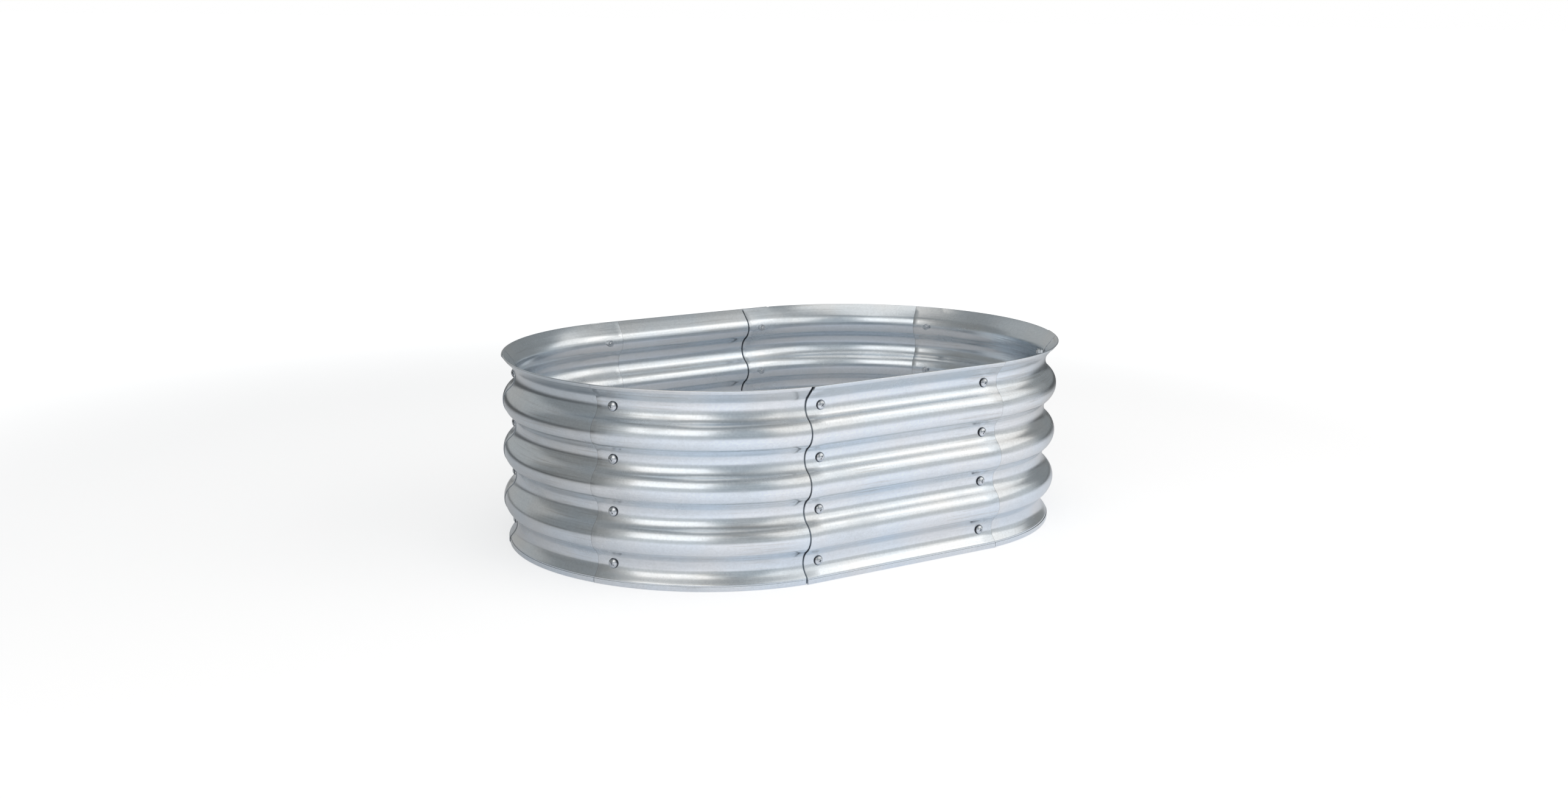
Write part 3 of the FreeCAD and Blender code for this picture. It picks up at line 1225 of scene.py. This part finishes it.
@dataclass(frozen=True)
class Nut:
    """A hexagon nut with chamfered corners, built downwards along Z from the face that meets the sheet.

    Attributes:
        width: Width across its flats.
        height: Its height.
        bore_radius: Radius of its bore.
        chamfer_degrees: Slope of the chamfer at its corners.
        face_cut: How far the shape that chamfers it stands off its two faces.
        edge_reach: How far the chamfer runs past its corners.
        sides: How many flats it has.
        chamfer_steps: Steps round the chamfer.
        bore_steps: Steps round the bore.
    """

    width: float = 0.010
    height: float = 0.005
    bore_radius: float = 0.003
    chamfer_degrees: float = 30.0
    face_cut: float = 0.0001
    edge_reach: float = 0.0002
    sides: int = 6
    chamfer_steps: int = 36
    bore_steps: int = 28

    @property
    def corner_radius(self) -> float:
        """Distance of its corners from its axis."""
        return self.width / 2 / cos(pi / self.sides)

    def bar(self, radius: float, length: float, sides: int) -> bmesh.types.BMesh:
        """Makes an upright bar about the nut's middle.

        Args:
            radius: Distance of its corners from its axis.
            length: Its length.
            sides: How many sides it has.

        Returns:
            Its mesh.
        """
        bm = bmesh.new()
        middle = Matrix.Translation((0, 0, -self.height / 2))
        bmesh.ops.create_cone(
            bm, cap_ends=True, segments=sides, radius1=radius, radius2=radius, depth=length, matrix=middle
        )
        return bm

    def chamfered_round(self) -> bmesh.types.BMesh:
        """Makes the round shape that the nut's corners are clipped to.

        Returns:
            Its mesh.
        """
        bm = bmesh.new()
        slope = radians(self.chamfer_degrees)
        slant = (self.corner_radius - self.width / 2) / cos(slope) + self.edge_reach
        path = SheetPath(bm, 0, self.face_cut, 0)
        path.straight(self.width / 2)
        path.heading = -slope
        path.straight(slant)
        path.heading = -pi / 2
        path.straight(self.height + 2 * path.tip.co.z)
        path.heading = slope - pi
        path.straight(slant)
        path.heading = -pi
        path.straight(self.width / 2)
        turn_round(bm, self.chamfer_steps)
        return bm

    def master(self) -> bpy.types.Mesh:
        """Builds the whole nut.

        Returns:
            Its mesh.
        """
        block = finished_object("nut_block", self.bar(self.corner_radius, self.height, self.sides))
        clip = finished_object("nut_clip", self.chamfered_round())
        bore = finished_object("nut_bore", self.bar(self.bore_radius, 3 * self.height, self.bore_steps))
        return combined("nut_master", block, [(clip, Cut.CLIP_TO), (bore, Cut.TAKE_AWAY)])


@dataclass(frozen=True)
class Seam:
    """A column of bolts and nuts through the grooves where two panels lap.

    Attributes:
        name: Name of the seam, which its CAD nodes' names begin with.
        end: The end that it belongs to.
        azimuth: Its azimuth round that end.
        inner: The inner of its two sheets.
        outer: The outer of its two sheets.
        seat_gap: Gap between a head or a nut and the sheet that it sits on.
        past_nut: How far a bolt reaches past its nut.
        first_bolt_turn: How far the lowest bolt is turned, besides the seam's azimuth.
        first_nut_turn: How far the lowest nut is turned, besides a share of the seam's azimuth.
        nut_azimuth_share: That share.
        turn_step: How much further each of them is turned than the one below it.
        sharp_degrees: Edges that turn more than this stay sharp.
    """

    name: str
    end: Side
    azimuth: float
    inner: Layer
    outer: Layer
    seat_gap: float = 0.00005
    past_nut: float = 0.002
    first_bolt_turn: float = 0.4
    first_nut_turn: float = 0.2
    nut_azimuth_share: float = 0.7
    turn_step: float = 1.1
    sharp_degrees: float = 30.0

    def head_seat(self, bolt: Bolt) -> float:
        """Finds where a head sits on the two sides of its groove.

        Args:
            bolt: The kind of bolt.

        Returns:
            The distance from the end's axis to the underside of the head.
        """
        surface = self.outer.value * WAVE.layer_step + WAVE.thickness / 2
        hollow = WAVE.bend_radius - surface
        rise = hollow - sqrt(hollow ** 2 - bolt.head_radius ** 2)
        return PLAN.groove_radius + surface + rise + self.seat_gap

    def nut_seat(self) -> float:
        """Distance from the end's axis to the face of a nut."""
        surface = self.inner.value * WAVE.layer_step - WAVE.thickness / 2
        return PLAN.groove_radius + surface - self.seat_gap

    def column(
        self, name: str, model: bpy.types.Mesh, distance: float, first_turn: float
    ) -> bpy.types.Object:
        """Places one copy of a fastener in each groove.

        Args:
            name: Name of the object.
            model: The fastener's mesh, with its axis on Z.
            distance: Where its origin goes, from the end's axis.
            first_turn: How far the lowest copy is turned about its axis.

        Returns:
            The object.
        """
        outwards = Vector((-sin(self.azimuth), -cos(self.azimuth), 0))
        facing = Vector((0, 0, 1)).rotation_difference(outwards).to_matrix().to_4x4()
        centre = Vector((self.end.value * PLAN.end_centre_x, 0, 0)) + outwards * distance
        bm = bmesh.new()
        for index, height in enumerate(WAVE.groove_heights):
            before = set(bm.verts)
            bm.from_mesh(model)
            new = [point for point in bm.verts if point not in before]
            turn = Matrix.Rotation(first_turn + index * self.turn_step, 4, "Z")
            place = Matrix.Translation(centre + Vector((0, 0, height)))
            bmesh.ops.transform(bm, matrix=place @ facing @ turn, verts=new)
        return finished_object(name, bm, self.sharp_degrees)

    def build(
        self, bolt: Bolt, nut: Nut, nut_model: bpy.types.Mesh, dress: dict[str, bpy.types.Material]
    ) -> list[bpy.types.Object]:
        """Builds and dresses the seam's bolts and nuts.

        Args:
            bolt: The kind of bolt.
            nut: The kind of nut.
            nut_model: The nut's mesh.
            dress: The materials of the bolts and the nuts.

        Returns:
            The two objects.
        """
        length = self.head_seat(bolt) - self.nut_seat() + nut.height + self.past_nut
        turn = self.first_bolt_turn + self.azimuth
        bolts = self.column(f"{self.name}_domed_bolts", bolt.master(length), self.head_seat(bolt), turn)
        turn = self.first_nut_turn + self.nut_azimuth_share * self.azimuth
        nuts = self.column(f"{self.name}_hex_nuts", nut_model, self.nut_seat(), turn)
        for made, kind, slot in ((bolts, "bolts", "bolt_steel"), (nuts, "nuts", "nut_steel")):
            made.data.materials.clear()
            made.data.materials.append(dress[kind])
            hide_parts(f"{self.name}_{kind}")
            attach(made, BODY)
        return [bolts, nuts]


def all_seams() -> list[Seam]:
    """Lists the bed's seams, four at each end.

    Returns:
        The seams.
    """
    seams = []
    for side in Side:
        name = side.name.lower()
        for index, (label, inner, outer) in enumerate([
            (f"front_{name}_seam", Layer.MIDDLE, Layer.OUTER),
            (f"{name}_front_seam", Layer.INNER, Layer.MIDDLE),
            (f"{name}_back_seam", Layer.INNER, Layer.MIDDLE),
            (f"back_{name}_seam", Layer.MIDDLE, Layer.OUTER),
        ]):
            seams.append(Seam(label, side, -side.value * index * PLAN.panel_angle, inner, outer))
    return seams


@dataclass(frozen=True)
class SoftBox:
    """A large soft lamp that faces the bed.

    Attributes:
        name: Its name.
        azimuth_degrees: Its azimuth round the bed.
        elevation_degrees: Its elevation above the floor.
        width_degrees: Its width as seen from the bed.
        height_degrees: Its height as seen from the bed.
        level: Its brightness as seen in a perfect mirror.
        tint: Its colour.
        distance: Its distance from the bed.
    """

    name: str
    azimuth_degrees: float
    elevation_degrees: float
    width_degrees: float
    height_degrees: float
    level: float
    tint: tuple[float, float, float] = (1.0, 0.93, 0.865)
    distance: float = 3.2

    def build(self) -> bpy.types.Object:
        """Makes the lamp, which the camera doesn't see.

        Returns:
            Its object.
        """
        lamp = bpy.data.lights.new(self.name, "AREA")
        lamp.shape = "RECTANGLE"
        lamp.size = 2 * self.distance * tan(radians(self.width_degrees / 2))
        lamp.size_y = 2 * self.distance * tan(radians(self.height_degrees / 2))
        lamp.energy = pi * self.level * lamp.size * lamp.size_y
        lamp.color = self.tint
        azimuth, elevation = radians(self.azimuth_degrees), radians(self.elevation_degrees)
        level = Vector((-sin(azimuth), -cos(azimuth), 0))
        towards = level * cos(elevation) + Vector((0, 0, sin(elevation)))
        made = bpy.data.objects.new(self.name, lamp)
        made.rotation_mode = "QUATERNION"
        made.rotation_quaternion = towards.to_track_quat("Z", "Y")
        made.location = towards * self.distance
        made.visible_camera = False
        bpy.context.scene.collection.objects.link(made)
        return made


@dataclass(frozen=True)
class Studio:
    """A plain pale floor under plain soft light, brightest in front of the bed.

    The floor's glows and its far tones are seen in the metal alone.

    Attributes:
        floor_radius: Radius of the floor.
        floor_steps: Steps round it.
        floor_drop: How far it lies below the bed's foot.
        paper_tone: Its colour.
        front_far_tone: Its colour far away in front of the bed.
        back_far_tone: Its colour far away behind the bed.
        front_glow: Its glow in front of the bed.
        back_glow: Its glow behind the bed.
        front_far_glow: Its glow far away in front of the bed.
        back_far_glow: Its glow far away behind the bed.
        near_depths: Where its glow changes from front to back near the bed.
        far_depths: The same far away.
        mirror_reach: Distances from the bed between which near changes to far.
        camera_white: How white the camera sees it near the bed, besides its light and shadow.
        camera_reach: Distances from the bed between which that changes to plain white.
        front_air: Colour of the light from the front.
        side_air: Colour of the light from the sides.
        back_air: Colour of the light from the back.
        top_air: Colour of the light from above.
        side_bounds: Where the front air changes to the side air, from -1 in front to 1 at the back.
        back_bounds: Where the side air changes to the back air.
        top_bounds: Where the top air begins, from 0 at the horizon to 1 overhead.
        boxes: The soft lamps.
    """

    floor_radius: float = 60.0
    floor_steps: int = 96
    floor_drop: float = 0.0003
    paper_tone: Colour = (0.80, 0.80, 0.81, 1.0)
    front_far_tone: Colour = (0.78, 0.79, 0.81, 1.0)
    back_far_tone: Colour = (0.24, 0.24, 0.24, 1.0)
    front_glow: Colour = (0.51, 0.52, 0.565, 1.0)
    back_glow: Colour = (0.05, 0.05, 0.055, 1.0)
    front_far_glow: Colour = (0.20, 0.21, 0.23, 1.0)
    back_far_glow: Colour = (0.0, 0.0, 0.0, 1.0)
    near_depths: tuple[float, float] = (-0.7, 0.25)
    far_depths: tuple[float, float] = (-0.9, 0.5)
    mirror_reach: tuple[float, float] = (0.9, 2.0)
    camera_white: float = 0.52
    camera_reach: tuple[float, float] = (1.2, 3.0)
    front_air: Colour = (0.44, 0.47, 0.49, 1.0)
    side_air: Colour = (0.25, 0.26, 0.26, 1.0)
    back_air: Colour = (0.43, 0.43, 0.42, 1.0)
    top_air: Colour = (0.28, 0.30, 0.31, 1.0)
    side_bounds: tuple[float, float] = (-0.35, 0.10)
    back_bounds: tuple[float, float] = (0.75, 0.92)
    top_bounds: tuple[float, float] = (0.55, 0.80)
    boxes: tuple[SoftBox, ...] = (
        SoftBox("right_front_box", -26.0, 34.0, 40.0, 30.0, 0.45),
        SoftBox("right_box", -64.0, 34.0, 36.0, 30.0, 0.48),
        SoftBox("left_front_box", 56.0, 34.0, 38.0, 30.0, 0.76),
        SoftBox("right_front_apron", -25.0, 30.0, 50.0, 60.0, 0.19),
        SoftBox("right_apron", -67.0, 30.0, 34.0, 60.0, 0.19),
        SoftBox("left_front_apron", 58.0, 30.0, 56.0, 60.0, 0.19),
        SoftBox("top_box", 0.0, 90.0, 40.0, 40.0, 0.70),
    )

    def floor_paper(self) -> bpy.types.Material:
        """Builds the floor's material, which is white to the camera and keeps the bed's shadow.

        Returns:
            The material.
        """
        made, board = empty_material("floor_paper")
        place = board.add("ShaderNodeTexCoord").outputs["Object"]
        reach = board.add("ShaderNodeVectorMath", {0: place}, operation="LENGTH").outputs["Value"]
        backwards = board.add("ShaderNodeSeparateXYZ", {0: place}).outputs["Y"]
        near_depth = board.ranged(backwards, *self.near_depths)
        far_depth = board.ranged(backwards, *self.far_depths)
        path = board.add("ShaderNodeLightPath")
        far = board.ranged(reach, *self.mirror_reach)
        far = board.math("MULTIPLY", far, path.outputs["Is Glossy Ray"])
        far_tone = board.blend(far_depth, self.front_far_tone, self.back_far_tone)
        tone = board.blend(far, self.paper_tone, far_tone)
        near_glow = board.blend(near_depth, self.front_glow, self.back_glow)
        far_glow = board.blend(far_depth, self.front_far_glow, self.back_far_glow)
        mirrored = board.blend(far, near_glow, far_glow)
        white = board.ranged(reach, *self.camera_reach, self.camera_white, 1.0)
        seen = board.math("MULTIPLY", path.outputs["Is Camera Ray"], white)

        diffuse = board.add("ShaderNodeBsdfDiffuse", {"Color": tone})
        to_camera = board.add("ShaderNodeEmission", {"Color": (1.0, 1.0, 1.0, 1.0), "Strength": seen})
        glossy = {"Color": mirrored, "Strength": path.outputs["Is Glossy Ray"]}
        to_metal = board.add("ShaderNodeEmission", glossy)
        glow = board.add("ShaderNodeAddShader", {0: to_camera.outputs[0], 1: to_metal.outputs[0]})
        surface = board.add("ShaderNodeAddShader", {0: diffuse.outputs[0], 1: glow.outputs[0]})
        board.add("ShaderNodeOutputMaterial", {"Surface": surface.outputs[0]})
        return made

    def floor(self) -> bpy.types.Object:
        """Makes the floor.

        Returns:
            Its object.
        """
        bm = bmesh.new()
        bmesh.ops.create_circle(bm, cap_ends=True, segments=self.floor_steps, radius=self.floor_radius)
        bmesh.ops.translate(bm, verts=bm.verts, vec=(0, 0, -self.floor_drop))
        made = finished_object("floor", bm)
        made.data.materials.append(self.floor_paper())
        return made

    def air(self) -> None:
        """Makes the light from all round, white to the camera."""
        world = bpy.data.worlds.new("studio_air")
        world.use_nodes = True
        world.node_tree.nodes.clear()
        board = NodeBoard(world.node_tree)
        direction = board.add("ShaderNodeTexCoord").outputs["Generated"]
        height = board.add("ShaderNodeSeparateXYZ", {0: direction}).outputs["Z"]
        flat = board.add("ShaderNodeVectorMath", {0: direction, 1: (1.0, 1.0, 0.0)}, operation="MULTIPLY")
        compass = board.add("ShaderNodeVectorMath", {0: flat.outputs["Vector"]}, operation="NORMALIZE")
        backwards = board.add("ShaderNodeSeparateXYZ", {0: compass.outputs["Vector"]}).outputs["Y"]
        tone = board.blend(board.ranged(backwards, *self.side_bounds), self.front_air, self.side_air)
        tone = board.blend(board.ranged(backwards, *self.back_bounds), tone, self.back_air)
        tone = board.blend(board.ranged(height, *self.top_bounds), tone, self.top_air)
        path = board.add("ShaderNodeLightPath")
        seen = board.blend(path.outputs["Is Camera Ray"], tone, (1.0, 1.0, 1.0, 1.0))
        light = board.add("ShaderNodeBackground", {"Color": seen, "Strength": 1.0})
        board.add("ShaderNodeOutputWorld", {"Surface": light.outputs[0]})
        bpy.context.scene.world = world

    def build(self) -> None:
        """Makes the floor, the light from all round and the soft boxes."""
        self.floor()
        self.air()
        for box in self.boxes:
            box.build()


@dataclass(frozen=True)
class Viewpoint:
    """The camera, turned round the middle of the bed and slid a little in its own plane.

    Attributes:
        yaw_degrees: How far it is turned round the bed, towards the left.
        pitch_degrees: How far it looks down.
        roll_degrees: How far it is turned about its own axis.
        distance: Its distance from the point that it is turned round.
        slide_right: How far it is slid to its right.
        slide_up: How far it is slid upwards.
        aim_height: Height of the point that it is turned round.
        lens: Its focal length in millimetres.
        sensor_width: Width of its sensor in millimetres.
    """

    yaw_degrees: float = 35.62
    pitch_degrees: float = 11.62
    roll_degrees: float = 0.70
    distance: float = 3.1355
    slide_right: float = -0.0041
    slide_up: float = 0.0534
    aim_height: float = 0.1443
    lens: float = 45.28
    sensor_width: float = 36.0

    def build(self) -> bpy.types.Object:
        """Makes the camera and sets it as the scene's own.

        Returns:
            Its object.
        """
        turns = (self.yaw_degrees, self.pitch_degrees, self.roll_degrees)
        yaw, pitch, roll = (radians(turn) for turn in turns)
        forward = Vector((sin(yaw) * cos(pitch), cos(yaw) * cos(pitch), -sin(pitch)))
        level_right = Vector((cos(yaw), -sin(yaw), 0))
        level_up = level_right.cross(forward)
        right = level_right * cos(roll) + level_up * sin(roll)
        up = level_up * cos(roll) - level_right * sin(roll)
        place = Vector((0, 0, self.aim_height)) - forward * self.distance
        place += right * self.slide_right + up * self.slide_up
        camera = bpy.data.cameras.new("camera")
        camera.lens = self.lens
        camera.sensor_width = self.sensor_width
        made = bpy.data.objects.new("camera", camera)
        turn = Matrix((right, up, -forward)).transposed().to_4x4()
        made.matrix_world = Matrix.Translation(place) @ turn
        bpy.context.scene.collection.objects.link(made)
        bpy.context.scene.camera = made
        return made


def main() -> None:
    """Builds the bed's panels and seams, and then the studio and the camera."""
    logging.basicConfig(level=logging.INFO, format="%(name)s: %(message)s")
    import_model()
    bpy.context.scene.view_settings.view_transform = "Standard"

    for panel in all_panels():
        made = panel.build()
        LOG.info("%s: %d faces", made.name, len(made.data.polygons))
    bolt, nut = Bolt(), Nut()
    nut_model = nut.master()
    dress = {
        "bolts": PlatedSteel().material("bolt_plating"),
        "nuts": PlatedSteel(roughness=0.28).material("nut_plating"),
    }
    for seam in all_seams():
        for made in seam.build(bolt, nut, nut_model, dress):
            LOG.info("%s: %d faces", made.name, len(made.data.polygons))
    Studio().build()
    Viewpoint().build()


if __name__ == "__main__":
    main()
